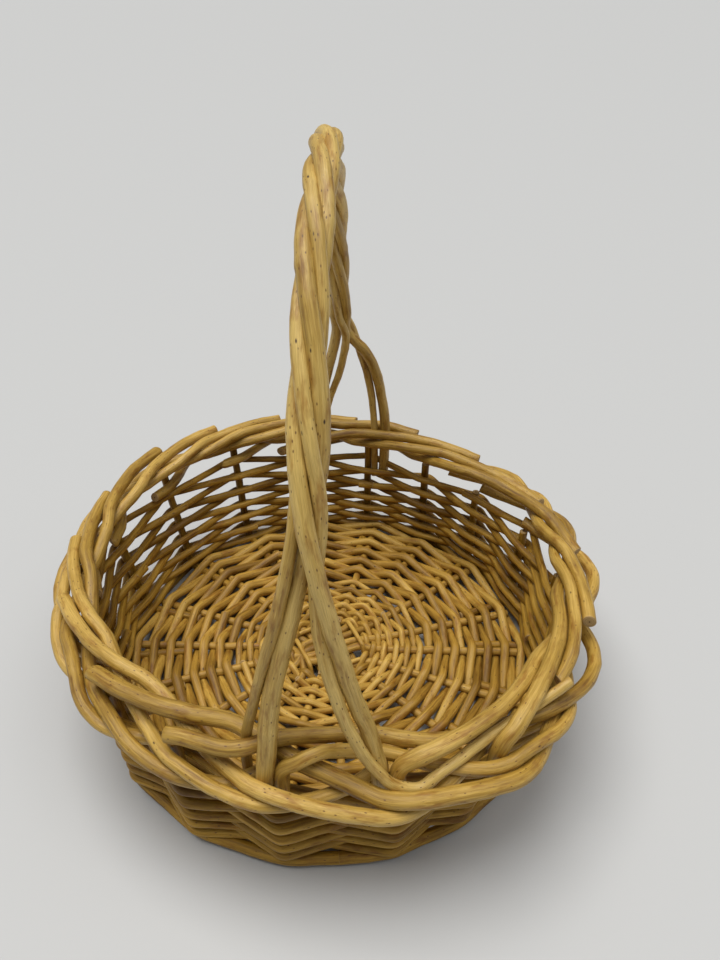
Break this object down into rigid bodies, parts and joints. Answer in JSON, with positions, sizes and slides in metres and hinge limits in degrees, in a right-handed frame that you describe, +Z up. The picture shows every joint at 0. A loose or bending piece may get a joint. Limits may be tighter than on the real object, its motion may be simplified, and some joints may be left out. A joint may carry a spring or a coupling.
{
  "type": "woven market basket",
  "caption": "Round open willow basket with a woven base and side, a plaited border and one fixed, loosely twisted hoop handle",
  "frame": {"origin": "on the ground under the middle of the base, at the bottom centre of the whole basket", "axes": "+Z up; the handle stands in the YZ plane, so +X and -X are the open sides of the hand gap"},
  "size_m": [0.3364, 0.3398, 0.3546],
  "materials": {
    "stick_willow": "dry peeled willow, satin to matte",
    "fine_weaver_willow": "dry peeled willow, satin to matte",
    "base_weaver_willow": "dry peeled willow, satin to matte",
    "stake_willow": "dry peeled willow, satin to matte",
    "foot_willow": "dry peeled willow, satin to matte",
    "side_weaver_willow": "dry peeled willow, satin to matte",
    "border_willow": "dry peeled willow, satin to matte",
    "handle_willow": "dry peeled willow, satin to matte"
  },
  "bodies": {
    "root": {"base_stick_1": "stick_willow", "base_stick_2": "stick_willow", "base_stick_3": "stick_willow", "base_stick_4": "stick_willow", "base_stick_5": "stick_willow", "base_stick_6": "stick_willow", "base_stick_7": "stick_willow", "base_stick_8": "stick_willow", "base_stick_9": "stick_willow", "base_middle_weave": "fine_weaver_willow", "base_weaver_pair_1": "base_weaver_willow", "base_weaver_pair_2": "base_weaver_willow", "base_weaver_pair_3": "base_weaver_willow", "side_stake_01": "stake_willow", "side_stake_02": "stake_willow", "side_stake_03": "stake_willow", "side_stake_04": "stake_willow", "side_stake_05": "stake_willow", "side_stake_06": "stake_willow", "side_stake_07": "stake_willow", "side_stake_08": "stake_willow", "side_stake_09": "stake_willow", "side_stake_10": "stake_willow", "side_stake_11": "stake_willow", "side_stake_12": "stake_willow", "side_stake_13": "stake_willow", "side_stake_14": "stake_willow", "side_stake_15": "stake_willow", "side_stake_16": "stake_willow", "side_stake_17": "stake_willow", "side_stake_18": "stake_willow", "foot_ring": "foot_willow", "side_round_1": "side_weaver_willow", "side_round_2": "side_weaver_willow", "side_round_3": "side_weaver_willow", "side_round_4": "side_weaver_willow", "side_round_5": "side_weaver_willow", "side_round_6": "side_weaver_willow", "border_rod_01": "border_willow", "border_rod_02": "border_willow", "border_rod_03": "border_willow", "border_rod_04": "border_willow", "border_rod_05": "border_willow", "border_rod_06": "border_willow", "border_rod_07": "border_willow", "border_rod_08": "border_willow", "border_rod_09": "border_willow", "border_rod_10": "border_willow", "border_rod_11": "border_willow", "border_rod_12": "border_willow", "border_rod_13": "border_willow", "border_rod_14": "border_willow", "border_rod_15": "border_willow", "border_rod_16": "border_willow", "border_rod_17": "border_willow", "border_rod_18": "border_willow", "handle_rod_1": "handle_willow", "handle_rod_2": "handle_willow", "handle_rod_3": "handle_willow", "handle_rod_4": "handle_willow"}
  },
  "joints": []
}
